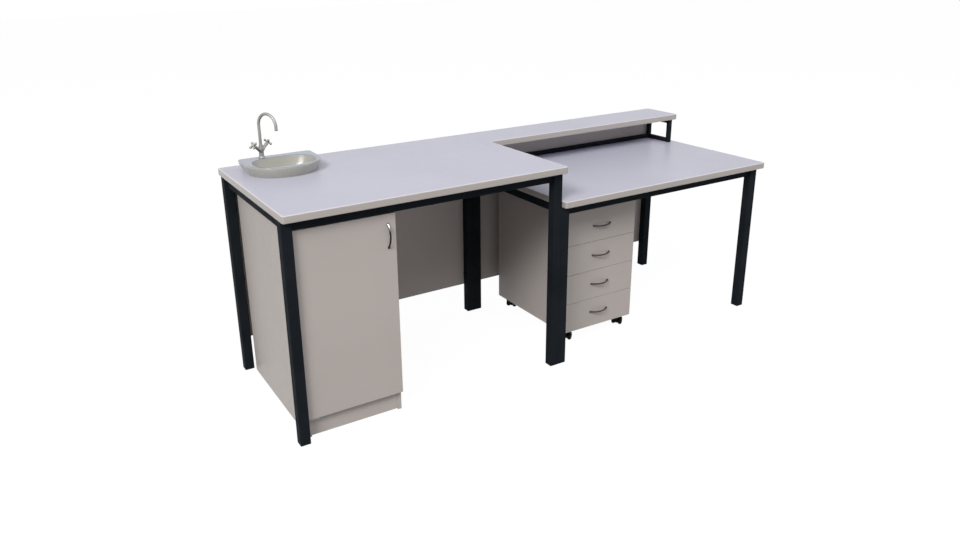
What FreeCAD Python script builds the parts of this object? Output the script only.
"""Laboratory bench with a sink cabinet, a raised reagent shelf and a mobile drawer pedestal.

Millimetres, +Z up, +X to the right, -Y towards the person who works at the bench.
The origin is on the floor, under the middle of the bench's bounding box.
"""
import FreeCAD
import Part
import math
import os

V = FreeCAD.Vector

# ---------------------------------------------------------------- driving dimensions
# Whole bench
overall_width = 2400.0
overall_depth = 800.0
upper_height = 900.0            # floor to the upper worktop's surface
level_step = 150.0              # the lower worktop's surface below the upper one's
upper_width = 1200.0            # deep part of the upper worktop
shelf_depth = 220.0             # reagent shelf over the lower worktop

# Worktops: laminated board with a bonded edging strip
top_thickness = 28.0
edging_thickness = 6.0
edging_round = 5.4
corner_radius = 10.0
inner_corner_radius = 4.0

# Frame of welded square tube
leg_size = 40.0
leg_wall = 2.0
rail_height = 40.0
rail_width = 25.0               # flush with the legs' inner faces
tube_round = 2.5
front_overhang = 25.0
rear_overhang = 40.0
left_overhang = 0.0
upper_right_overhang = 10.0
lower_right_overhang = 24.0
lower_top_gap = 2.0             # between the lower worktop's end and the tall legs
plug_height = 18.0
plug_clearance = 0.1

# Shelf frame of small square tube
shelf_tube = 20.0
shelf_tube_wall = 1.5
shelf_tube_round = 1.5
shelf_post_inset = 10.0
shelf_end_setback = 12.0        # of the shelf and its frame, from the lower worktop's end

# Rear panels, screwed to the tubes from behind
panel_thickness = 16.0
panel_bottom = 138.0
panel_end_inset = 10.0          # inside the end legs' outer faces
panel_joint_gap = 1.0           # between the two panels, behind the paired legs
panel_top_gap = 5.0
panel_screw_radius = 2.5
panel_screw_bite = 8.0          # past the panel, into the tube
panel_screw_head_radius = 5.0
panel_screw_head_height = 2.5
panel_screw_low = 300.0
panel_screw_drop = 90.0         # upper screws below the worktop

# Sink cabinet
board_thickness = 16.0
cabinet_width = 395.0
cabinet_leg_gap = 3.0
cabinet_rail_gap = 1.5
cabinet_rear_gap = 16.0
cabinet_back_thickness = 4.0
cabinet_back_inset = 1.0
cabinet_floor_height = 84.0
plinth_setback = 3.0
plinth_floor_gap = 5.0
stretcher_width = 80.0
stretcher_pipe_gap = 97.0       # rear stretcher below the waste pipe
inner_front_setback = 1.0
edge_round = 0.8

# Cabinet door on two pivots
door_thickness = 18.0
door_side_gap = 1.0
door_seal_gap = 2.0
door_bottom_gap = 1.0
door_top_gap = 4.0
pivot_inset = 6.0               # pivot axis behind the door's front and beside its edge
pivot_pin_radius = 2.0
pivot_fit = 0.05
pivot_bush_radius = 3.5
pivot_bush_length = 14.0
pivot_pin_length = 13.0
pivot_plate_thickness = 2.0
pivot_plate_width = 44.0
pivot_flange_height = 34.0
pivot_flange_depth = 30.0
pivot_flange_setback = 6.0      # upper flange behind the cabinet's front edge
pivot_shoulder_gap = 0.3

# Bow handles
handle_spacing = 96.0
handle_rise = 24.0
handle_bar_radius = 3.5
handle_foot_radius = 4.5
handle_foot_length = 5.0
handle_screw_radius = 2.0
handle_screw_bite = 4.0
handle_screw_head_radius = 4.2
handle_screw_head_height = 2.2
door_handle_edge = 32.0
door_handle_drop = 83.0

# Countertop basin
basin_centre_from_left = 215.0
basin_back_from_rear = 88.0
basin_half_width = 155.0
basin_straight_depth = 112.0    # back edge to the start of the rounded front
basin_front_reach = 134.0       # rounded front, measured from there
basin_height = 45.0
basin_flare = 18.0
basin_back_flare = 12.0
basin_corner_radius = 18.0
basin_wall = 8.0
basin_deck_thickness = 10.0
basin_rim_bevel = 3.0
bowl_half_length = 127.0
bowl_half_width = 87.0
bowl_centre_from_back = 132.0
bowl_depth = 102.0
bowl_floor_radius = 34.0
bowl_neck_share = 0.84          # size of the bowl where it passes the worktop
cutout_clearance = 4.0

# Waste, bottle trap and outlet pipe
waste_radius = 22.0
waste_wall = 3.0
waste_flange_radius = 31.0
waste_flange_thickness = 2.5
waste_length = 46.0
strainer_hole_radius = 3.2
strainer_hole_circle = 11.0
strainer_hole_count = 6
strainer_thickness = 2.0
backnut_height = 9.0
backnut_radius = 32.0
waste_clearance = 0.4
trap_radius = 33.0
trap_wall = 3.0
trap_height = 86.0
trap_collar_radius = 28.0
trap_collar_height = 24.0
trap_collar_overlap = 16.0
trap_cup_height = 40.0
trap_cup_radius = 30.0
pipe_radius = 20.0
pipe_wall = 2.0
pipe_drop = 32.0                # pipe axis below the trap's top
pipe_free_length = 18.0
pipe_collar_radius = 24.0
pipe_collar_width = 3.0
pipe_collar_gap = 1.0           # behind the rear panel
pipe_hole_clearance = 2.0

# Two-handle tap
tap_from_centre = -60.0         # beside the basin's centre line
tap_from_back = 30.0
tap_facing = 27.0               # degrees that the spout turns from -Y towards +X
tap_flange_radius = 14.0
tap_flange_height = 4.0
tap_body_radius = 11.0
tap_body_height = 44.0
tap_collar_radius = 8.5
tap_collar_height = 12.0
tap_shank_radius = 10.0
tap_shank_length = 30.0
tap_shank_clearance = 1.0
tap_nut_radius = 13.5
tap_nut_height = 8.0
tap_arm_height = 29.0           # arms leave the body here, above the deck
tap_arm_angle = 36.0
tap_arm_length = 44.0
tap_arm_radius = 7.0
tap_spindle_radius = 3.0
tap_spindle_length = 7.0
tap_fit = 0.05
tap_handle_gap = 0.3
tap_handle_hub_radius = 6.5
tap_handle_hub_length = 12.0
tap_handle_reach = 15.0
tap_handle_spoke_radius = 2.8
tap_handle_ball_radius = 4.4
spout_radius = 6.1
spout_bore_radius = 4.3
spout_bend_radius = 47.5
spout_bend_height = 136.0       # centre of the bend above the deck
spout_drop = 4.0
spout_socket_depth = 16.0
aerator_radius = 6.8
aerator_length = 12.0
aerator_bore_radius = 4.6
tail_radius = 5.0
tail_spacing = 11.0             # where the inlet tails leave the shank
tail_straight = 50.0            # down through the worktop
tail_bend_radius = 26.0         # an S-bend then spreads them apart
tail_bend_angle = 40.0
tail_drop = 16.0                # down again, then a bend leads them out to the rear
tail_collar_radius = 8.0
tail_collar_width = 3.0
tail_free_length = 18.0
tail_hole_radius = 18.0
tail_back_hole_radius = 12.0

# Mobile pedestal
pedestal_width = 400.0
pedestal_from_frame = 88.0      # beside the lower frame's left legs
pedestal_from_front = 125.0     # behind the front legs' front faces
pedestal_rear_gap = 70.0        # in front of the modesty panel
pedestal_top_gap = 42.0         # under the lower frame's rails
pedestal_clearance = 62.0       # underside above the floor
pedestal_top_thickness = 16.0
drawer_count = 4
drawer_front_gap = 1.5
drawer_front_thickness = 16.0
drawer_front_side_gap = 1.0
drawer_handle_lift = 4.0        # above the middle of a drawer's height
drawer_seal_gap = 1.0
drawer_box_drop = 26.0          # box top below the front's upper edge
drawer_box_lift = 22.0          # box bottom above the front's lower edge
drawer_rear_gap = 58.0          # between the closed box and the back board
drawer_side_thickness = 12.0
drawer_bottom_thickness = 4.0
drawer_bottom_lift = 8.0
drawer_bottom_groove = 5.0
runner_space = 12.7
runner_height = 35.0
runner_wall = 1.5
runner_depth = 9.5
runner_fit = 0.3
runner_track_height = 12.0
runner_lift = 25.0

# Twin-wheel casters
caster_inset = 44.0
caster_rest_angle = -55.0       # direction of the axles at rest, degrees from +X
wheel_radius = 20.0
wheel_width = 15.0
wheel_spacing = 32.0
wheel_round = 3.0
wheel_bore_radius = 3.05
axle_radius = 3.0
caster_trail = 16.0
caster_web_width = 12.0
caster_web_radius = 15.0
caster_hood_gap = 1.5
caster_hood_thickness = 2.0
caster_hood_low = 40.0           # degrees over which the hood wraps the wheels
caster_hood_high = 130.0
caster_stem_radius = 5.5
caster_clip_radius = 9.0
caster_clip_thickness = 2.0
caster_clip_gap = 0.3
caster_stem_fit = 0.05
caster_boss_radius = 9.0
caster_flange_radius = 13.0
caster_flange_thickness = 3.0
caster_flange_gap = 0.4

# Fasteners of the frame
top_screw_radius = 2.5
top_screw_bite = 18.0
top_screw_head_radius = 5.0
top_screw_head_height = 3.0
shelf_screw_radius = 2.0
shelf_screw_head_radius = 4.0
shelf_screw_head_height = 2.5
shelf_access_radius = 5.0       # holes in the tubes through which the screws are driven
link_bolt_radius = 4.0
link_bolt_head_radius = 6.5
link_bolt_head_height = 3.5
link_bolt_inset = 11.0          # from the legs' outer faces, clear of the panels
link_bolt_low = 200.0
link_bolt_drop = 82.0           # upper bolts below the lower frame's rails
screw_end_inset = 150.0
hole_clearance = 0.1

# ---------------------------------------------------------------- derived places
x_left = -overall_width / 2
x_right = overall_width / 2
y_front = -overall_depth / 2
y_rear = overall_depth / 2
lower_height = upper_height - level_step
upper_under = upper_height - top_thickness
lower_under = lower_height - top_thickness
upper_edge_x = x_left + upper_width
shelf_front_y = y_rear - shelf_depth
shelf_end_x = x_right - shelf_end_setback

upper_frame_x0 = x_left + left_overhang
upper_frame_x1 = upper_edge_x - upper_right_overhang
lower_frame_x0 = upper_frame_x1
lower_frame_x1 = x_right - lower_right_overhang
frame_y0 = y_front + front_overhang
frame_y1 = y_rear - rear_overhang
upper_rail_z = upper_under - rail_height
lower_rail_z = lower_under - rail_height
lower_top_x0 = lower_frame_x0 + lower_top_gap

panel_y0 = frame_y1
panel_y1 = panel_y0 + panel_thickness

cabinet_x0 = upper_frame_x0 + leg_size + cabinet_leg_gap
cabinet_x1 = cabinet_x0 + cabinet_width
cabinet_y0 = frame_y0 + leg_size + cabinet_rail_gap
cabinet_y1 = frame_y1 - leg_size - cabinet_rear_gap - cabinet_back_thickness
cabinet_top = upper_under
inner_x0 = cabinet_x0 + board_thickness
inner_x1 = cabinet_x1 - board_thickness
door_x0 = cabinet_x0 + door_side_gap
door_x1 = cabinet_x1
door_y1 = cabinet_y0 - door_seal_gap
door_y0 = door_y1 - door_thickness
door_z0 = cabinet_floor_height + door_bottom_gap
door_z1 = upper_rail_z - door_top_gap
pivot_x = door_x0 + pivot_inset
pivot_y = door_y0 + pivot_inset

basin_x = x_left + basin_centre_from_left
basin_back_y = y_rear - basin_back_from_rear
basin_turn_y = basin_back_y - basin_straight_depth
basin_rim_z = upper_height + basin_height
bowl_y = basin_back_y - bowl_centre_from_back
bowl_floor_z = basin_rim_z - bowl_depth
bowl_outer_floor_z = bowl_floor_z - basin_wall

tap_x = basin_x + tap_from_centre
tap_y = basin_back_y - tap_from_back
tap_deck_z = basin_rim_z
tap_arm_z = tap_deck_z + tap_arm_height
tap_body_top = tap_deck_z + tap_body_height
tail_turn = math.radians(tail_bend_angle)
tail_half_step = tail_bend_radius * (1 - math.cos(tail_turn))
tail_half_drop = tail_bend_radius * math.sin(tail_turn)
tail_offset = tail_spacing / 2 + 2 * tail_half_step
tail_bend_z = tap_deck_z - tap_shank_length - tail_straight - 2 * tail_half_drop - tail_drop
tail_outlet_z = tail_bend_z - tail_bend_radius

trap_top = bowl_outer_floor_z - waste_length + trap_collar_overlap + basin_wall
pipe_z = trap_top - trap_collar_height - pipe_drop
pipe_collar_y = panel_y1 + pipe_collar_gap
stretcher_z1 = pipe_z - pipe_radius - stretcher_pipe_gap

pedestal_x0 = lower_frame_x0 + leg_size + pedestal_from_frame
pedestal_x1 = pedestal_x0 + pedestal_width
pedestal_y0 = frame_y0 + pedestal_from_front
pedestal_y1 = panel_y0 - pedestal_rear_gap
pedestal_z1 = lower_rail_z - pedestal_top_gap
pedestal_fronts_top = pedestal_z1 - pedestal_top_thickness
drawer_pitch = (pedestal_fronts_top - pedestal_clearance) / drawer_count
drawer_front_height = drawer_pitch - drawer_front_gap
carcass_y0 = pedestal_y0 + drawer_front_thickness + drawer_seal_gap
carcass_inner_x0 = pedestal_x0 + board_thickness
carcass_inner_x1 = pedestal_x1 - board_thickness
drawer_box_y0 = pedestal_y0 + drawer_front_thickness
drawer_box_y1 = pedestal_y1 - board_thickness - drawer_rear_gap


# ---------------------------------------------------------------- shape helpers
def box(x0, x1, y0, y1, z0, z1):
    """A plain block between two corners."""
    return Part.makeBox(x1 - x0, y1 - y0, z1 - z0, V(x0, y0, z0))


def soft_box(x0, x1, y0, y1, z0, z1, radius=edge_round):
    """A board whose edges are all slightly rounded."""
    block = box(x0, x1, y0, y1, z0, z1)
    return block.makeFillet(radius, block.Edges)


def edges_parallel(shape, axis):
    """The straight edges of a shape that run along one axis."""
    found = []
    for edge in shape.Edges:
        run = edge.Vertexes[-1].Point - edge.Vertexes[0].Point
        if run.Length > 0 and abs(run.normalize().dot(axis)) > 0.999:
            found.append(edge)
    return found


def tube(x0, x1, y0, y1, z0, z1, axis, wall, radius):
    """A rectangular hollow section along an axis, with rounded outer corners."""
    outer = box(x0, x1, y0, y1, z0, z1)
    outer = outer.makeFillet(radius, edges_parallel(outer, axis))
    across = V(1, 1, 1) - axis
    low = V(x0, y0, z0) + across * wall
    high = V(x1, y1, z1) - across * wall
    return outer.cut(box(low.x, high.x, low.y, high.y, low.z, high.z))


def disc(centre, axis, radius, length):
    """A cylinder that starts at centre and runs along axis."""
    return Part.makeCylinder(radius, length, centre, axis)


def ring(centre, axis, outer, inner, length):
    """A cylinder with a through bore."""
    return disc(centre, axis, outer, length).cut(disc(centre, axis, inner, length))


def screw(seat, axis, radius, length, head_radius, head_height):
    """A screw whose head rests at seat and whose shank runs along axis."""
    shank = disc(seat, axis, radius, length)
    head = disc(seat - axis * head_height, axis, head_radius, head_height)
    return shank.fuse(head)


def drilled(shape, holes):
    """The shape with a clearance hole for each (start, axis, radius, length)."""
    for start, axis, radius, length in holes:
        shape = shape.cut(disc(start, axis, radius + hole_clearance, length))
    return shape


def rounded_wire(corners, z):
    """A closed flat outline of lines and arcs from (x, y, radius) corners."""
    count = len(corners)
    edges = []
    joints = []
    for i in range(count):
        here = V(corners[i][0], corners[i][1], z)
        before = V(corners[i - 1][0], corners[i - 1][1], z)
        after = V(corners[(i + 1) % count][0], corners[(i + 1) % count][1], z)
        radius = corners[i][2]
        to_before = (before - here).normalize()
        to_after = (after - here).normalize()
        bisector = (to_before + to_after).normalize()
        half = to_before.getAngle(to_after) / 2
        start = here + to_before * (radius / math.tan(half))
        end = here + to_after * (radius / math.tan(half))
        middle = here + bisector * (radius / math.sin(half) - radius)
        joints.append((start, middle, end))
    for i in range(count):
        start, middle, end = joints[i]
        edges.append(Part.Arc(start, middle, end).toShape())
        edges.append(Part.LineSegment(end, joints[(i + 1) % count][0]).toShape())
    return Part.Wire(edges)


def slab(corners, z0, z1):
    """A plate with a rounded outline."""
    return Part.Face(rounded_wire(corners, z0)).extrude(V(0, 0, z1 - z0))


def ellipse_wire(x, y, z, half_x, half_y):
    """A level ellipse as a closed wire."""
    centre = V(x, y, z)
    if half_x >= half_y:
        curve = Part.Ellipse(V(x + half_x, y, z), V(x, y + half_y, z), centre)
    else:
        curve = Part.Ellipse(V(x, y + half_y, z), V(x - half_x, y, z), centre)
    return Part.Wire([curve.toShape()])


def stack(wires):
    """A closed solid through level outlines, straight between each pair."""
    return Part.makeLoft(wires, True, True)


# ---------------------------------------------------------------- output
os.makedirs("parts", exist_ok=True)


def save(node, solids):
    """Write one node's solids to its own file."""
    flat = []
    for solid in solids:
        flat.extend(solid.Solids)
    shape = flat[0] if len(flat) == 1 else Part.makeCompound(flat)
    shape.exportStep("parts/" + node + ".step")


# ---------------------------------------------------------------- fasteners of the frame
X = V(1, 0, 0)
Y = V(0, 1, 0)
Z = V(0, 0, 1)


def spread(low, high, count):
    """Places from low to high, with the end inset kept at both ends."""
    first = low + min(screw_end_inset, (high - low) / 4)
    last = high - min(screw_end_inset, (high - low) / 4)
    return [first + (last - first) * i / (count - 1) for i in range(count)]


def rail_screws(x0, x1, rail_z):
    """Seats of the screws that run up through one frame's rails into its worktop."""
    front_y = frame_y0 + leg_size - rail_width / 2
    rear_y = frame_y1 - leg_size + rail_width / 2
    seats = []
    for x in spread(x0 + leg_size, x1 - leg_size, 3):
        seats.append(V(x, front_y, rail_z))
        seats.append(V(x, rear_y, rail_z))
    for y in spread(frame_y0 + leg_size, frame_y1 - leg_size, 2):
        seats.append(V(x0 + leg_size - rail_width / 2, y, rail_z))
        seats.append(V(x1 - leg_size + rail_width / 2, y, rail_z))
    return seats


upper_screw_seats = rail_screws(upper_frame_x0, upper_frame_x1, upper_rail_z)
lower_screw_seats = rail_screws(lower_frame_x0, lower_frame_x1, lower_rail_z)
top_screw_length = rail_height + top_screw_bite
upper_screw_holes = [(p, Z, top_screw_radius, top_screw_length) for p in upper_screw_seats]
lower_screw_holes = [(p, Z, top_screw_radius, top_screw_length) for p in lower_screw_seats]

shelf_post_x1 = lower_frame_x1 - shelf_end_setback
shelf_post_x0 = shelf_post_x1 - shelf_tube
shelf_post_y0 = shelf_front_y + shelf_post_inset
shelf_rear_y0 = frame_y1 - shelf_tube
shelf_bar_y = (shelf_post_y0 + shelf_tube + shelf_rear_y0) / 2
shelf_rail_y = shelf_rear_y0 + shelf_tube / 2
shelf_bar_x = shelf_post_x0 + shelf_tube / 2
shelf_rail_xs = spread(lower_frame_x0, shelf_post_x0, 3)
shelf_top_z = upper_under - shelf_tube_wall
shelf_foot_z = lower_height + shelf_tube_wall
shelf_screw_length = shelf_tube_wall + top_screw_bite
shelf_screw_places = [(x, shelf_rail_y) for x in shelf_rail_xs] + [(shelf_bar_x, shelf_bar_y)]
shelf_screws = [(V(x, y, shelf_top_z), Z) for x, y in shelf_screw_places]
shelf_screws += [(V(x, y, shelf_foot_z), Z * -1) for x, y in shelf_screw_places]
shelf_holes = [(seat, axis, shelf_screw_radius, shelf_screw_length)
               for seat, axis in shelf_screws]
shelf_access_holes = [(seat - axis * shelf_tube, axis, shelf_access_radius,
                       shelf_tube - shelf_tube_wall) for seat, axis in shelf_screws]

link_bolt_seats = []
for link_y in (frame_y0 + link_bolt_inset, frame_y1 - link_bolt_inset):
    for link_z in (link_bolt_low, lower_rail_z - link_bolt_drop):
        link_bolt_seats.append(V(upper_frame_x1 - leg_size, link_y, link_z))
link_bolt_length = 2 * leg_size
link_holes = [(p, X, link_bolt_radius, link_bolt_length) for p in link_bolt_seats]


cabinet_screw_y = cabinet_y0 + inner_front_setback + stretcher_width / 2
cabinet_screw_length = board_thickness + top_screw_bite
cabinet_screw_seats = [V(x, cabinet_screw_y, cabinet_top - board_thickness)
                       for x in (inner_x0 + stretcher_width, inner_x1 - stretcher_width)]
cabinet_screw_holes = [(p, Z, top_screw_radius, cabinet_screw_length)
                       for p in cabinet_screw_seats]


def frame_fasteners():
    """Screws of the worktops, shelf and cabinet, and the bolts between the two frames."""
    solids = []
    for seat in upper_screw_seats + lower_screw_seats:
        solids.append(screw(seat, Z, top_screw_radius, top_screw_length,
                            top_screw_head_radius, top_screw_head_height))
    for seat, axis in shelf_screws:
        solids.append(screw(seat, axis, shelf_screw_radius, shelf_screw_length,
                            shelf_screw_head_radius, shelf_screw_head_height))
    for seat in cabinet_screw_seats:
        solids.append(screw(seat, Z, top_screw_radius, cabinet_screw_length,
                            top_screw_head_radius, top_screw_head_height))
    for seat in link_bolt_seats:
        bolt = screw(seat, X, link_bolt_radius, link_bolt_length,
                     link_bolt_head_radius, link_bolt_head_height)
        nut = disc(seat + X * link_bolt_length, X, link_bolt_head_radius, link_bolt_head_height)
        solids.append(bolt.fuse(nut))
    return solids


# ---------------------------------------------------------------- worktops
def upper_corners(inset):
    """Corners of the L-shaped upper worktop, moved inwards by inset."""
    outer = corner_radius - inset
    return [(x_left + inset, y_front + inset, outer),
            (upper_edge_x - inset, y_front + inset, outer),
            (upper_edge_x - inset, shelf_front_y + inset, inner_corner_radius + inset),
            (shelf_end_x - inset, shelf_front_y + inset, outer),
            (shelf_end_x - inset, y_rear - inset, outer),
            (x_left + inset, y_rear - inset, outer)]


def lower_corners(inset):
    """Corners of the lower worktop, moved inwards by inset."""
    outer = corner_radius - inset
    return [(lower_top_x0 + inset, y_front + inset, outer),
            (x_right - inset, y_front + inset, outer),
            (x_right - inset, y_rear - inset, outer),
            (lower_top_x0 + inset, y_rear - inset, outer)]


def edging(corners_of, z0, z1):
    """The strip bonded round a board, with rounded outer edges."""
    outer = slab(corners_of(0.0), z0, z1)
    level = [edge for edge in outer.Edges
             if abs(edge.BoundBox.ZMax - edge.BoundBox.ZMin) < 1e-6]
    outer = outer.makeFillet(edging_round, level)
    return outer.cut(slab(corners_of(edging_thickness), z0, z1))


def upper_worktop():
    """The L-shaped board with its basin cut-out, pipe hole and screw holes."""
    board = slab(upper_corners(edging_thickness), upper_under, upper_height)
    half_x = bowl_half_length * bowl_neck_share + basin_wall + cutout_clearance
    half_y = bowl_half_width * bowl_neck_share + basin_wall + cutout_clearance
    outline = Part.Face(ellipse_wire(basin_x, bowl_y, upper_under, half_x, half_y))
    board = board.cut(outline.extrude(V(0, 0, top_thickness)))
    board = board.cut(disc(V(tap_x, tap_y, upper_under), Z, tail_hole_radius, top_thickness))
    return drilled(board, upper_screw_holes + shelf_holes + cabinet_screw_holes)


def lower_worktop():
    """The plain board at desk height."""
    board = slab(lower_corners(edging_thickness), lower_under, lower_height)
    return drilled(board, lower_screw_holes + shelf_holes)


# ---------------------------------------------------------------- frame
def leg(x0, y0, top):
    """One upright square tube, open at the floor."""
    return tube(x0, x0 + leg_size, y0, y0 + leg_size, 0, top, Z, leg_wall, tube_round)


def end_frame(x0, rail_x0, top, holes):
    """Two legs with the side rail between them."""
    rail_z = top - rail_height
    front = leg(x0, frame_y0, top)
    rear = leg(x0, frame_y1 - leg_size, top)
    rail = tube(rail_x0, rail_x0 + rail_width, frame_y0 + leg_size, frame_y1 - leg_size,
                rail_z, top, Y, leg_wall, tube_round)
    return [drilled(piece, holes) for piece in (front, rear, rail)]


def long_rails(x0, x1, top, holes):
    """The front and the rear rail between two end frames."""
    rail_z = top - rail_height
    rails = []
    for y0 in (frame_y0 + leg_size - rail_width, frame_y1 - leg_size):
        rail = tube(x0 + leg_size, x1 - leg_size, y0, y0 + rail_width,
                    rail_z, top, X, leg_wall, tube_round)
        rails.append(drilled(rail, holes))
    return rails


def leg_plugs():
    """Plastic plugs pressed into the legs' open lower ends."""
    plugs = []
    gap = leg_wall + plug_clearance
    for x0 in (upper_frame_x0, upper_frame_x1 - leg_size,
               lower_frame_x0, lower_frame_x1 - leg_size):
        for y0 in (frame_y0, frame_y1 - leg_size):
            plug = box(x0 + gap, x0 + leg_size - gap, y0 + gap, y0 + leg_size - gap,
                       0, plug_height)
            plugs.append(plug)
    return plugs


# ---------------------------------------------------------------- reagent shelf's frame
def shelf_frame():
    """The end frame that stands on the lower worktop, and the two rear rails."""
    rear_y1 = shelf_rear_y0 + shelf_tube
    post_y1 = shelf_post_y0 + shelf_tube
    solids = []
    for y0 in (shelf_post_y0, shelf_rear_y0):
        solids.append(tube(shelf_post_x0, shelf_post_x1, y0, y0 + shelf_tube,
                           lower_height, upper_under, Z, shelf_tube_wall, shelf_tube_round))
    for z0 in (lower_height, upper_under - shelf_tube):
        bar = tube(shelf_post_x0, shelf_post_x1, post_y1, shelf_rear_y0,
                   z0, z0 + shelf_tube, Y, shelf_tube_wall, shelf_tube_round)
        rail = tube(lower_frame_x0, shelf_post_x0, shelf_rear_y0, rear_y1,
                    z0, z0 + shelf_tube, X, shelf_tube_wall, shelf_tube_round)
        solids.append(drilled(bar, shelf_holes + shelf_access_holes))
        solids.append(drilled(rail, shelf_holes + shelf_access_holes + panel_screw_holes))
    return solids


# ---------------------------------------------------------------- rear panels
def panel_screw_seats():
    """Where the screws enter the rear panels, each in front of a tube's middle."""
    seats = []
    for x0, x1, top in ((upper_frame_x0, upper_frame_x1, upper_under),
                        (lower_frame_x0, lower_frame_x1, lower_under)):
        for x in (x0 + leg_size / 2, x1 - leg_size / 2):
            for z in (panel_screw_low, top - panel_screw_drop):
                seats.append(V(x, panel_y1, z))
    for first, second in zip(shelf_rail_xs, shelf_rail_xs[1:]):
        for z in (lower_height + shelf_tube / 2, upper_under - shelf_tube / 2):
            seats.append(V((first + second) / 2, panel_y1, z))
    return seats


panel_screw_length = panel_thickness + panel_screw_bite
panel_screw_holes = [(seat, Y * -1, panel_screw_radius, panel_screw_length)
                     for seat in panel_screw_seats()]


def rear_panel(x0, x1, z0, z1):
    """A board behind the frames, with its screw holes."""
    return drilled(soft_box(x0, x1, panel_y0, panel_y1, z0, z1), panel_screw_holes)


def shelf_back_panel():
    """The board behind the shelf's frame, between the two worktops."""
    return rear_panel(lower_frame_x0 + panel_joint_gap / 2, shelf_post_x1,
                      lower_height, upper_under)


def panel_screws():
    """The screws of the three rear panels."""
    return [screw(seat, Y * -1, panel_screw_radius, panel_screw_length,
                  panel_screw_head_radius, panel_screw_head_height)
            for seat in panel_screw_seats()]


# ---------------------------------------------------------------- sink cabinet
def cabinet_side(x0):
    """A side board that stands on the floor."""
    return soft_box(x0, x0 + board_thickness, cabinet_y0, cabinet_y1, 0, cabinet_top)


def cabinet_bottom():
    """The floor of the cabinet, between its sides."""
    return box(inner_x0, inner_x1, cabinet_y0 + inner_front_setback, cabinet_y1,
               cabinet_floor_height, cabinet_floor_height + board_thickness)


def cabinet_plinth():
    """The recessed board under the door, clear of the floor."""
    y0 = cabinet_y0 + plinth_setback
    return box(inner_x0, inner_x1, y0, y0 + board_thickness,
               plinth_floor_gap, cabinet_floor_height)


def cabinet_stretchers():
    """The top front stretcher and the upright rear one."""
    front_y = cabinet_y0 + inner_front_setback
    front = box(inner_x0, inner_x1, front_y, front_y + stretcher_width,
                cabinet_top - board_thickness, cabinet_top)
    front = drilled(front, cabinet_screw_holes)
    rear = box(inner_x0, inner_x1, cabinet_y1 - board_thickness, cabinet_y1,
               stretcher_z1 - stretcher_width, stretcher_z1)
    return [front, rear]


def piped(board, y0, y1, tail_hole):
    """A rear board with its holes for the waste pipe and the two inlet tails."""
    board = board.cut(disc(V(basin_x, y0, pipe_z), Y, pipe_radius + pipe_hole_clearance, y1 - y0))
    for side in (-1, 1):
        start = V(tap_x + side * tail_offset, y0, tail_outlet_z)
        board = board.cut(disc(start, Y, tail_hole, y1 - y0))
    return board


def cabinet_back():
    """The thin back board, with holes for the pipes."""
    y1 = cabinet_y1 + cabinet_back_thickness
    board = box(cabinet_x0 + cabinet_back_inset, cabinet_x1 - cabinet_back_inset,
                cabinet_y1, y1, cabinet_floor_height, cabinet_top - cabinet_back_inset)
    return piped(board, cabinet_y1, y1, tail_back_hole_radius)


# ---------------------------------------------------------------- bow handles
def bow_handle(centre, along, outward, board):
    """A bow handle on a face, with its two screws through the board behind it."""
    half = handle_spacing / 2
    rise = handle_rise - handle_bar_radius
    bend = (half * half + rise * rise) / (2 * rise)
    hub = centre - outward * (bend - rise)
    bow = Part.makeTorus(bend, handle_bar_radius, hub, along.cross(outward))
    reach = 2 * bend
    front = Part.makeBox(2 * reach, 2 * reach, reach)
    turn = FreeCAD.Rotation(V(0, 0, 1), outward)
    front.Placement = FreeCAD.Placement(centre - turn.multVec(V(reach, reach, 0)), turn)
    bow = bow.common(front)
    screws = []
    for side in (-1, 1):
        foot = centre + along * (side * half)
        bow = bow.fuse(disc(foot, outward, handle_foot_radius, handle_foot_length))
    bow = bow.removeSplitter()
    for side in (-1, 1):
        foot = centre + along * (side * half)
        seat = foot - outward * board
        length = board + handle_screw_bite
        screws.append(screw(seat, outward, handle_screw_radius, length,
                            handle_screw_head_radius, handle_screw_head_height))
        bow = drilled(bow, [(seat, outward, handle_screw_radius, length)])
    return [bow] + screws


def handle_holes(centre, along, outward, board):
    """The two screw holes that a bow handle needs in its board."""
    holes = []
    for side in (-1, 1):
        start = centre + along * (side * handle_spacing / 2) - outward * board
        holes.append((start, outward, handle_screw_radius, board))
    return holes


door_handle_centre = V(door_x1 - door_handle_edge, door_y0, door_z1 - door_handle_drop)


# ---------------------------------------------------------------- door and its pivots
def cabinet_door():
    """The door, bored at its top and bottom edge for the pivot bushes."""
    door = soft_box(door_x0, door_x1, door_y0, door_y1, door_z0, door_z1)
    for z0 in (door_z0, door_z1 - pivot_bush_length):
        door = door.cut(disc(V(pivot_x, pivot_y, z0), Z, pivot_bush_radius, pivot_bush_length))
    return drilled(door, handle_holes(door_handle_centre, Z, Y * -1, door_thickness))


def door_pivots():
    """The two flush bushes in the door's edges."""
    bushes = []
    for z0 in (door_z0, door_z1 - pivot_bush_length):
        bushes.append(ring(V(pivot_x, pivot_y, z0), Z, pivot_bush_radius,
                           pivot_pin_radius + pivot_fit, pivot_bush_length))
    return bushes


def pivot_post(z, way, gap):
    """A shoulder and a pin that stand off a plate's face at z."""
    axis = Z * way
    shoulder = disc(V(pivot_x, pivot_y, z), axis, pivot_bush_radius, gap - pivot_shoulder_gap)
    return shoulder.fuse(disc(V(pivot_x, pivot_y, z), axis, pivot_pin_radius,
                              gap + pivot_pin_length))


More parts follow.
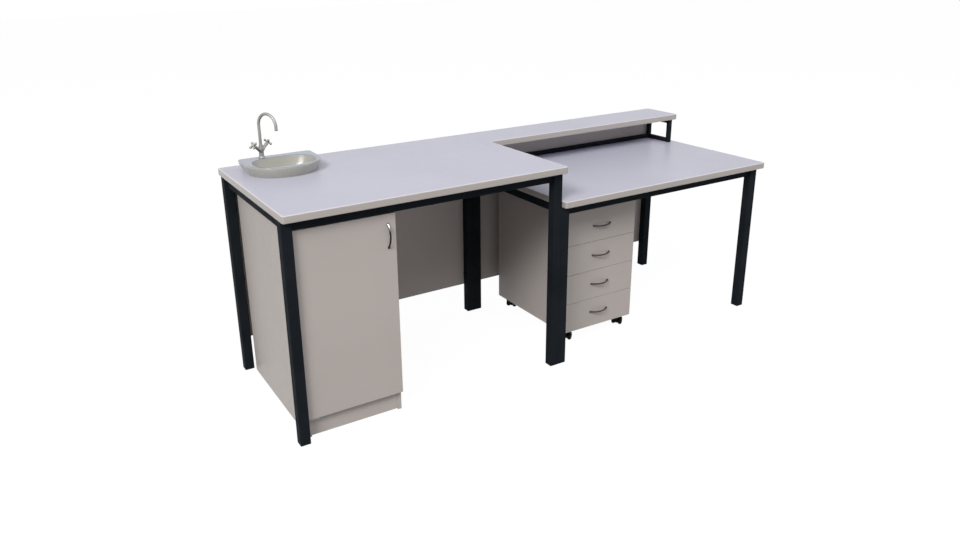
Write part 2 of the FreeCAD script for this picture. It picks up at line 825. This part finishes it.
def door_pivot_brackets():
    """The fixed pivot plates: one on the left side board, one on the plinth."""
    plate_x1 = door_x0 + pivot_plate_width
    plate_y1 = cabinet_y0 - hole_clearance
    top_z1 = upper_rail_z
    top_z0 = top_z1 - pivot_plate_thickness
    flange_y0 = cabinet_y0 + pivot_flange_setback
    flange_y1 = flange_y0 + pivot_flange_depth
    top = box(door_x0, plate_x1, door_y0, plate_y1, top_z0, top_z1)
    top = top.fuse(box(inner_x0, plate_x1, door_y0, flange_y1, top_z0, top_z1))
    top = top.fuse(box(inner_x0, inner_x0 + pivot_plate_thickness, flange_y0, flange_y1,
                       top_z1 - pivot_flange_height, top_z1))
    top = top.fuse(pivot_post(top_z0, -1, door_top_gap - pivot_plate_thickness))
    low_z1 = cabinet_floor_height - door_bottom_gap
    low_z0 = low_z1 - pivot_plate_thickness
    plinth_y = cabinet_y0 + plinth_setback
    low = box(door_x0, plate_x1, door_y0, plate_y1, low_z0, low_z1)
    low = low.fuse(box(inner_x0, plate_x1, door_y0, plinth_y, low_z0, low_z1))
    low = low.fuse(box(inner_x0, plate_x1, plinth_y - pivot_plate_thickness, plinth_y,
                       low_z1 - pivot_flange_height, low_z1))
    low = low.fuse(pivot_post(low_z1, 1, door_z0 - low_z1))
    return [top.removeSplitter(), low.removeSplitter()]


# ---------------------------------------------------------------- basin
def basin_outline(inset, back_inset, z):
    """The D-shaped plan: straight back and sides, elliptical front."""
    half = basin_half_width - inset
    back = basin_back_y - back_inset
    reach = basin_front_reach - inset
    radius = basin_corner_radius
    slant = radius * (1 - math.sqrt(0.5))
    points = [V(basin_x + half, basin_turn_y, z), V(basin_x + half, back - radius, z),
              V(basin_x + half - slant, back - slant, z), V(basin_x + half - radius, back, z),
              V(basin_x - half + radius, back, z), V(basin_x - half + slant, back - slant, z),
              V(basin_x - half, back - radius, z), V(basin_x - half, basin_turn_y, z)]
    front = [V(basin_x - half * math.cos(a), basin_turn_y - reach * math.sin(a), z)
             for a in (math.radians(22.5 * k) for k in range(9))]
    curve = Part.BSplineCurve()
    curve.interpolate(front, InitialTangent=V(0, -1, 0), FinalTangent=V(0, 1, 0))
    edges = [Part.LineSegment(points[0], points[1]).toShape(),
             Part.Arc(points[1], points[2], points[3]).toShape(),
             Part.LineSegment(points[3], points[4]).toShape(),
             Part.Arc(points[4], points[5], points[6]).toShape(),
             Part.LineSegment(points[6], points[7]).toShape(),
             curve.toShape()]
    return Part.Wire(edges)


def bowl_section(depth, share, grow):
    """One level section of the bowl, as a share of its mouth and grown by a wall."""
    return ellipse_wire(basin_x, bowl_y, basin_rim_z - depth,
                        bowl_half_length * share + grow, bowl_half_width * share + grow)


def bowl_profile(grow, extra):
    """Sections of the bowl from its mouth to its floor."""
    mouth_to_neck = basin_height
    floor_share = bowl_floor_radius / bowl_half_width
    low = bowl_depth - mouth_to_neck
    return [bowl_section(mouth_to_neck, bowl_neck_share, grow),
            bowl_section(mouth_to_neck + low * 0.55, bowl_neck_share * 0.84, grow),
            bowl_section(mouth_to_neck + low * 0.88, bowl_neck_share * 0.62, grow),
            bowl_section(bowl_depth + extra, floor_share, grow)]


def basin():
    """Ceramic basin: flared skirt, level deck and a bowl that hangs through the worktop."""
    middle_z = upper_height + basin_height * 0.5
    bevel_z = basin_rim_z - basin_rim_bevel
    deck_z = basin_rim_z - basin_deck_thickness
    skirt = stack([basin_outline(basin_flare, basin_back_flare, upper_height),
                   basin_outline(basin_flare * 0.36, basin_back_flare * 0.36, middle_z),
                   basin_outline(0.0, 0.0, bevel_z),
                   basin_outline(basin_rim_bevel, basin_rim_bevel, basin_rim_z)])
    hollow = stack([basin_outline(basin_flare + basin_wall, basin_back_flare + basin_wall,
                                  upper_height),
                    basin_outline(basin_flare * 0.36 + basin_wall,
                                  basin_back_flare * 0.36 + basin_wall, middle_z),
                    basin_outline(basin_wall, basin_wall, deck_z)])
    outer_bowl = stack([bowl_section(basin_deck_thickness, 1.0, basin_wall)]
                       + bowl_profile(basin_wall, basin_wall))
    inner_bowl = stack([bowl_section(0, 1.0, basin_rim_bevel),
                        bowl_section(basin_rim_bevel, 1.0, 0)]
                       + bowl_profile(0, 0))
    body = skirt.cut(hollow).fuse(outer_bowl).cut(inner_bowl)
    waste_hole = disc(V(basin_x, bowl_y, bowl_outer_floor_z), Z,
                      waste_radius + waste_clearance, bowl_depth)
    tap_hole = disc(V(tap_x, tap_y, deck_z), Z, tap_shank_radius + tap_shank_clearance,
                    basin_deck_thickness)
    return body.cut(waste_hole).cut(tap_hole)


# ---------------------------------------------------------------- waste, trap and pipe
def basin_waste():
    """Flanged waste with a strainer, and the nut that clamps it under the bowl."""
    bottom_z = bowl_floor_z - waste_length
    pole = V(basin_x, bowl_y, bottom_z)
    body = disc(pole, Z, waste_radius, waste_length)
    body = body.fuse(disc(V(basin_x, bowl_y, bowl_floor_z), Z, waste_flange_radius,
                          waste_flange_thickness))
    inside = waste_radius - waste_wall
    strainer_z = bowl_floor_z - strainer_thickness
    body = body.cut(disc(pole, Z, inside, waste_length - strainer_thickness))
    body = body.cut(disc(V(basin_x, bowl_y, bowl_floor_z), Z, inside, waste_flange_thickness))
    for k in range(strainer_hole_count):
        angle = 2 * math.pi * k / strainer_hole_count
        place = V(basin_x + strainer_hole_circle * math.cos(angle),
                  bowl_y + strainer_hole_circle * math.sin(angle), strainer_z)
        body = body.cut(disc(place, Z, strainer_hole_radius, strainer_thickness))
    nut = ring(V(basin_x, bowl_y, bowl_outer_floor_z - backnut_height), Z,
               backnut_radius, waste_radius, backnut_height)
    return [body.removeSplitter(), nut]


def bottle_trap():
    """Collar nut, bottle-shaped body and the cup that unscrews from it."""
    collar_z = bowl_floor_z - waste_length + trap_collar_overlap - trap_collar_height
    collar = ring(V(basin_x, bowl_y, collar_z), Z, trap_collar_radius, waste_radius,
                  trap_collar_height)
    body_z = collar_z - trap_height
    pole = V(basin_x, bowl_y, body_z)
    body = disc(pole, Z, trap_radius, trap_height)
    body = body.cut(disc(pole, Z, trap_radius - trap_wall, trap_height - trap_wall))
    body = body.cut(disc(pole, Z, waste_radius - waste_wall, trap_height))
    body = body.cut(disc(V(basin_x, bowl_y, pipe_z), Y, pipe_radius, trap_radius))
    cup = disc(pole - Z * trap_cup_height, Z, trap_cup_radius, trap_cup_height)
    cup = cup.cut(disc(pole - Z * (trap_cup_height - trap_wall), Z,
                       trap_cup_radius - trap_wall, trap_cup_height))
    return [collar, body, cup]


def waste_pipe():
    """The outlet from the trap to the rear, with a stop collar before its free end."""
    start_y = bowl_y + math.sqrt(trap_radius ** 2 - pipe_radius ** 2) - trap_wall
    end_y = pipe_collar_y + pipe_collar_width + pipe_free_length
    pipe = disc(V(basin_x, start_y, pipe_z), Y, pipe_radius, end_y - start_y)
    pipe = pipe.fuse(disc(V(basin_x, pipe_collar_y, pipe_z), Y, pipe_collar_radius,
                          pipe_collar_width))
    pipe = pipe.cut(disc(V(basin_x, start_y, pipe_z), Y, pipe_radius - pipe_wall,
                         end_y - start_y))
    return pipe.removeSplitter()


# ---------------------------------------------------------------- tap
facing = math.radians(tap_facing)
spout_way = V(math.sin(facing), -math.cos(facing), 0)
across_way = V(math.cos(facing), math.sin(facing), 0)
arm_angle = math.radians(tap_arm_angle)
tap_foot = V(tap_x, tap_y, tap_deck_z)
tap_arm_root = V(tap_x, tap_y, tap_arm_z)


def arm_way(side):
    """The direction of one arm, out and upwards."""
    return across_way * (side * math.cos(arm_angle)) + Z * math.sin(arm_angle)


def tap_body():
    """Flange, column, two raised arms with their spindles, and the shank below."""
    body = disc(tap_foot, Z, tap_flange_radius, tap_flange_height)
    body = body.fuse(disc(tap_foot, Z, tap_body_radius, tap_body_height))
    body = body.fuse(disc(tap_foot + Z * tap_body_height, Z, tap_collar_radius,
                          tap_collar_height))
    body = body.fuse(disc(tap_foot - Z * tap_shank_length, Z, tap_shank_radius,
                          tap_shank_length))
    for side in (-1, 1):
        way = arm_way(side)
        body = body.fuse(disc(tap_arm_root, way, tap_arm_radius, tap_arm_length))
        body = body.fuse(disc(tap_arm_root + way * tap_arm_length, way,
                              tap_spindle_radius, tap_spindle_length))
    socket_z = tap_body_top + tap_collar_height - spout_socket_depth
    socket = disc(V(tap_x, tap_y, socket_z), Z, spout_radius + tap_fit, spout_socket_depth)
    return body.removeSplitter().cut(socket)


def tap_handle(side):
    """A cross handle: hub, four spokes and their round ends."""
    way = arm_way(side)
    seat = tap_arm_root + way * (tap_arm_length + tap_handle_gap)
    handle = disc(seat, way, tap_handle_hub_radius, tap_handle_hub_length)
    middle = seat + way * (tap_handle_hub_length / 2)
    level = way.cross(Z).normalize()
    upright = way.cross(level)
    for k in range(4):
        turn = math.radians(45 + 90 * k)
        out = level * math.cos(turn) + upright * math.sin(turn)
        handle = handle.fuse(disc(middle, out, tap_handle_spoke_radius, tap_handle_reach))
        handle = handle.fuse(Part.makeSphere(tap_handle_ball_radius,
                                             middle + out * tap_handle_reach))
    bore = disc(seat, way, tap_spindle_radius + tap_fit, tap_spindle_length)
    return handle.cut(bore)


def tap_spout():
    """The swan-neck pipe and the aerator on its outlet."""
    foot_z = tap_body_top + tap_collar_height - spout_socket_depth + tap_fit
    bend_z = tap_deck_z + spout_bend_height
    low = V(tap_x, tap_y, foot_z)
    rise = V(tap_x, tap_y, bend_z)
    top = rise + spout_way * spout_bend_radius + Z * spout_bend_radius
    over = rise + spout_way * (2 * spout_bend_radius)
    outlet = over - Z * spout_drop
    path = Part.Wire([Part.LineSegment(low, rise).toShape(),
                      Part.Arc(rise, top, over).toShape(),
                      Part.LineSegment(over, outlet).toShape()])
    pipes = []
    for radius in (spout_radius, spout_bore_radius):
        profile = Part.Wire([Part.Circle(low, Z, radius).toShape()])
        pipes.append(path.makePipeShell([profile], True, False))
    pipe = pipes[0].cut(pipes[1])
    aerator = ring(outlet - Z * aerator_length, Z, aerator_radius, aerator_bore_radius,
                   aerator_length)
    return [pipe, aerator]


def inlet_tail(side):
    """One inlet tail: down from the shank, outwards by an S-bend, then out to the rear."""
    out = X * side
    top = tap_foot - Z * tap_shank_length + out * (tail_spacing / 2)
    start = top - Z * tail_straight
    middle = start - Z * tail_half_drop + out * tail_half_step
    end = middle - Z * tail_half_drop + out * tail_half_step
    mid_step = tail_bend_radius * (1 - math.cos(tail_turn / 2))
    mid_drop = tail_bend_radius * math.sin(tail_turn / 2)
    first = start - Z * mid_drop + out * mid_step
    last = end + Z * mid_drop - out * mid_step
    bend = end - Z * tail_drop
    eighth = tail_bend_radius * math.sqrt(0.5)
    halfway = bend + Y * (tail_bend_radius - eighth) - Z * eighth
    level = bend + (Y - Z) * tail_bend_radius
    collar = V(level.x, pipe_collar_y, level.z)
    tip = V(level.x, pipe_collar_y + tail_collar_width + tail_free_length, level.z)
    path = Part.Wire([Part.LineSegment(top, start).toShape(),
                      Part.Arc(start, first, middle).toShape(),
                      Part.Arc(middle, last, end).toShape(),
                      Part.LineSegment(end, bend).toShape(),
                      Part.Arc(bend, halfway, level).toShape(),
                      Part.LineSegment(level, tip).toShape()])
    profile = Part.Wire([Part.Circle(top, Z, tail_radius).toShape()])
    pipe = path.makePipeShell([profile], True, False)
    return pipe.fuse(disc(collar, Y, tail_collar_radius, tail_collar_width)).removeSplitter()


def tap_fixing():
    """The backnut under the basin's deck and the two inlet tails with their collars."""
    nut_z = basin_rim_z - basin_deck_thickness - tap_nut_height
    nut = ring(V(tap_x, tap_y, nut_z), Z, tap_nut_radius, tap_shank_radius, tap_nut_height)
    return [nut, inlet_tail(-1), inlet_tail(1)]


# ---------------------------------------------------------------- pedestal
def caster_places():
    """The swivel axes' places, by name."""
    x0 = pedestal_x0 + caster_inset
    x1 = pedestal_x1 - caster_inset
    y0 = pedestal_y0 + caster_inset
    y1 = pedestal_y1 - caster_inset
    return {"front_left": V(x0, y0, 0), "front_right": V(x1, y0, 0),
            "rear_left": V(x0, y1, 0), "rear_right": V(x1, y1, 0)}


def pedestal_sides():
    """The two side boards of the pedestal."""
    sides = []
    for x0 in (pedestal_x0, pedestal_x1 - board_thickness):
        sides.append(soft_box(x0, x0 + board_thickness, carcass_y0, pedestal_y1,
                              pedestal_clearance, pedestal_fronts_top))
    return sides


def pedestal_bottom():
    """The bottom board, bored for the casters' stems."""
    board = box(carcass_inner_x0, carcass_inner_x1, carcass_y0, pedestal_y1 - board_thickness,
                pedestal_clearance, pedestal_clearance + board_thickness)
    for place in caster_places().values():
        start = place + Z * pedestal_clearance
        board = board.cut(disc(start, Z, caster_stem_radius + caster_stem_fit,
                               board_thickness))
    return board


def pedestal_back():
    """The back board, between the sides."""
    return box(carcass_inner_x0, carcass_inner_x1, pedestal_y1 - board_thickness, pedestal_y1,
               pedestal_clearance, pedestal_fronts_top)


def pedestal_top():
    """The top board, over the sides and behind the top drawer's front."""
    return soft_box(pedestal_x0, pedestal_x1, carcass_y0, pedestal_y1,
                    pedestal_fronts_top, pedestal_z1)


def drawer_bottom_z(index):
    """The lower edge of a drawer's front, counted from the top drawer."""
    return pedestal_clearance + (drawer_count - 1 - index) * drawer_pitch


def runner_z(index):
    """The lower edge of a drawer's runners."""
    return drawer_bottom_z(index) + drawer_box_lift + runner_lift


def pedestal_runners():
    """Fixed channel of each drawer runner, one on either side board."""
    solids = []
    for index in range(drawer_count):
        z0 = runner_z(index)
        for wall_x, way in ((carcass_inner_x0, 1), (carcass_inner_x1, -1)):
            far_x = wall_x + way * runner_depth
            web_x = wall_x + way * runner_wall
            outer = box(min(wall_x, far_x), max(wall_x, far_x), carcass_y0,
                        drawer_box_y1, z0, z0 + runner_height)
            inner = box(min(web_x, far_x), max(web_x, far_x), carcass_y0,
                        drawer_box_y1, z0 + runner_wall, z0 + runner_height - runner_wall)
            solids.append(outer.cut(inner))
    return solids


def drawer_handle_centre(index):
    """The middle of a drawer's bow handle, on the front's face."""
    return V((pedestal_x0 + pedestal_x1) / 2, pedestal_y0,
             drawer_bottom_z(index) + drawer_front_height / 2 + drawer_handle_lift)


def drawer_front(index):
    """The visible front board of one drawer; the top one also covers the top board."""
    z0 = drawer_bottom_z(index)
    z1 = z0 + drawer_front_height + (0 if index else pedestal_top_thickness)
    board = soft_box(pedestal_x0 + drawer_front_side_gap, pedestal_x1 - drawer_front_side_gap,
                     pedestal_y0, pedestal_y0 + drawer_front_thickness,
                     z0, z1)
    return drilled(board, handle_holes(drawer_handle_centre(index), X, Y * -1,
                                       drawer_front_thickness))


def drawer_box(index):
    """Sides, back and bottom of one drawer, with its two runner slides."""
    x0 = carcass_inner_x0 + runner_space
    x1 = carcass_inner_x1 - runner_space
    y0 = drawer_box_y0
    y1 = drawer_box_y1
    z0 = drawer_bottom_z(index) + drawer_box_lift
    z1 = drawer_bottom_z(index) + drawer_front_height - drawer_box_drop
    side = drawer_side_thickness
    base_z = z0 + drawer_bottom_lift
    base = box(x0 + side - drawer_bottom_groove, x1 - side + drawer_bottom_groove,
               y0, y1 - side + drawer_bottom_groove, base_z, base_z + drawer_bottom_thickness)
    left = box(x0, x0 + side, y0, y1, z0, z1).cut(base)
    right = box(x1 - side, x1, y0, y1, z0, z1).cut(base)
    back = box(x0 + side, x1 - side, y1 - side, y1, z0, z1).cut(base)
    solids = [left, right, back, base]
    slide_z = runner_z(index) + runner_wall + runner_fit
    slide_height = runner_height - 2 * (runner_wall + runner_fit)
    track_z = runner_z(index) + (runner_height - runner_track_height) / 2
    for side_x, way, wall_x in ((x0, -1, carcass_inner_x0), (x1, 1, carcass_inner_x1)):
        web_x = side_x + way * (runner_space - runner_depth + runner_wall)
        track_x = wall_x - way * (runner_wall + runner_fit)
        web = box(min(side_x, web_x), max(side_x, web_x), y0 + drawer_seal_gap, y1,
                  slide_z, slide_z + slide_height)
        track = box(min(web_x, track_x), max(web_x, track_x), y0 + drawer_seal_gap, y1,
                    track_z, track_z + runner_track_height)
        solids.append(web.fuse(track).removeSplitter())
    return solids


# ---------------------------------------------------------------- casters
axle_turn = math.radians(caster_rest_angle)
axle_way = V(math.cos(axle_turn), math.sin(axle_turn), 0)
trail_way = V(-math.sin(axle_turn), math.cos(axle_turn), 0)


def axle_centre(place):
    """The middle of the axle, behind the swivel axis by the trail."""
    return V(place.x, place.y, wheel_radius) + trail_way * caster_trail


def caster_wheels(place):
    """The two wheels of one caster."""
    wheels = []
    for side in (-1, 1):
        middle = axle_centre(place) + axle_way * (side * wheel_spacing / 2)
        start = middle - axle_way * (wheel_width / 2)
        wheel = disc(start, axle_way, wheel_radius, wheel_width)
        rims = [edge for edge in wheel.Edges if edge.Closed]
        wheel = wheel.makeFillet(wheel_round, rims)
        wheels.append(wheel.cut(disc(start, axle_way, wheel_bore_radius, wheel_width)))
    return wheels


def caster_housing(place):
    """Web, hood, boss and stem as one moulding, the axle, and the clip above the board."""
    centre = axle_centre(place)
    web_start = centre - axle_way * (caster_web_width / 2)
    body = disc(web_start, axle_way, caster_web_radius, caster_web_width)
    hood_inner = wheel_radius + caster_hood_gap
    hood_outer = hood_inner + caster_hood_thickness
    hood_width = wheel_spacing + wheel_width
    hood_start = centre - axle_way * (hood_width / 2)
    arc = caster_hood_high - caster_hood_low
    shell = Part.makeCylinder(hood_outer, hood_width, V(0, 0, 0), V(0, 0, 1), arc)
    core = Part.makeCylinder(hood_inner, hood_width, V(0, 0, 0), V(0, 0, 1), arc)
    shell = shell.cut(core)
    web = Part.makeCylinder(hood_outer, caster_web_width,
                            V(0, 0, (hood_width - caster_web_width) / 2), V(0, 0, 1), arc)
    shell = shell.fuse(web)
    local = FreeCAD.Rotation(V(0, 0, 1), caster_hood_low)
    matrix = FreeCAD.Matrix(-trail_way.x, 0, axle_way.x, 0,
                            -trail_way.y, 0, axle_way.y, 0,
                            0, 1, 0, 0,
                            0, 0, 0, 1)
    shell.Placement = FreeCAD.Placement(V(0, 0, 0), local)
    shell = shell.transformGeometry(matrix)
    shell.translate(hood_start)
    boss_z = 2 * wheel_radius + caster_hood_gap
    flange_z = pedestal_clearance - caster_flange_gap - caster_flange_thickness
    foot = V(place.x, place.y, 0)
    boss = disc(foot + Z * boss_z, Z, caster_boss_radius, flange_z - boss_z)
    neck = Part.makeBox(caster_web_width, caster_trail + caster_boss_radius,
                        boss_z - wheel_radius)
    neck_turn = FreeCAD.Rotation(Z, math.degrees(axle_turn))
    neck_corner = web_start - trail_way * (caster_trail + caster_boss_radius)
    neck.Placement = FreeCAD.Placement(neck_corner, neck_turn)
    flange = disc(foot + Z * flange_z, Z, caster_flange_radius, caster_flange_thickness)
    clip_z = pedestal_clearance + board_thickness + caster_clip_gap
    stem_top = clip_z + caster_clip_thickness
    stem = disc(foot + Z * flange_z, Z, caster_stem_radius, stem_top - flange_z)
    clip = ring(foot + Z * clip_z, Z, caster_clip_radius, caster_stem_radius,
                caster_clip_thickness)
    body = body.fuse(shell).fuse(boss).fuse(neck).fuse(flange).fuse(stem)
    axle_length = wheel_spacing + wheel_width
    axle_start = centre - axle_way * (axle_length / 2)
    axle = disc(axle_start, axle_way, axle_radius, axle_length)
    return [body.cut(axle).removeSplitter(), axle, clip]


# ---------------------------------------------------------------- build
save("upper_worktop", [upper_worktop()])
save("lower_worktop", [lower_worktop()])
save("worktop_edging", [edging(upper_corners, upper_under, upper_height),
                        edging(lower_corners, lower_under, lower_height)])

all_frame_holes = upper_screw_holes + lower_screw_holes + link_holes + panel_screw_holes
rail_inset = leg_size - rail_width
for frame_name, x0, x1, under in (("upper", upper_frame_x0, upper_frame_x1, upper_under),
                                  ("lower", lower_frame_x0, lower_frame_x1, lower_under)):
    save(frame_name + "_frame_left_end",
         end_frame(x0, x0 + rail_inset, under, all_frame_holes))
    save(frame_name + "_frame_right_end",
         end_frame(x1 - leg_size, x1 - leg_size, under, all_frame_holes))
save("upper_frame_rails",
     long_rails(upper_frame_x0, upper_frame_x1, upper_under, all_frame_holes))
save("lower_frame_rails",
     long_rails(lower_frame_x0, lower_frame_x1, lower_under, all_frame_holes))
save("leg_plugs", leg_plugs())
save("frame_fasteners", frame_fasteners())

save("shelf_frame", shelf_frame())
save("shelf_back_panel", [shelf_back_panel()])
upper_panel = rear_panel(upper_frame_x0 + panel_end_inset, upper_frame_x1 - panel_joint_gap / 2,
                         panel_bottom, upper_under - panel_top_gap)
save("upper_modesty_panel",
     [piped(upper_panel, panel_y0, panel_y1, tail_radius + pipe_hole_clearance)])
save("lower_modesty_panel",
     [rear_panel(lower_frame_x0 + panel_joint_gap / 2, lower_frame_x1 - panel_end_inset,
                 panel_bottom, lower_under - panel_top_gap)])
save("panel_screws", panel_screws())

save("cabinet_left_side", [cabinet_side(cabinet_x0)])
save("cabinet_right_side", [cabinet_side(cabinet_x1 - board_thickness)])
save("cabinet_bottom", [cabinet_bottom()])
save("cabinet_back", [cabinet_back()])
save("cabinet_stretchers", cabinet_stretchers())
save("cabinet_plinth", [cabinet_plinth()])
save("door_pivot_brackets", door_pivot_brackets())
save("cabinet_door", [cabinet_door()])
save("door_handle", bow_handle(door_handle_centre, Z, Y * -1, door_thickness))
save("door_pivots", door_pivots())

save("basin", [basin()])
save("basin_waste", basin_waste())
save("bottle_trap", bottle_trap())
save("waste_pipe", [waste_pipe()])
save("tap_body", [tap_body()])
save("tap_fixing", tap_fixing())
save("tap_spout", tap_spout())
save("tap_handle_left", [tap_handle(-1)])
save("tap_handle_right", [tap_handle(1)])

save("pedestal_sides", pedestal_sides())
save("pedestal_top", [pedestal_top()])
save("pedestal_bottom", [pedestal_bottom()])
save("pedestal_back", [pedestal_back()])
save("pedestal_runners", pedestal_runners())
for number in range(drawer_count):
    label = "drawer_" + str(number + 1)
    save(label + "_front", [drawer_front(number)])
    save(label + "_box", drawer_box(number))
    save(label + "_handle", bow_handle(drawer_handle_centre(number), X, Y * -1,
                                       drawer_front_thickness))
for name, spot in caster_places().items():
    save("caster_" + name + "_housing", caster_housing(spot))
    save("caster_" + name + "_wheels", caster_wheels(spot))
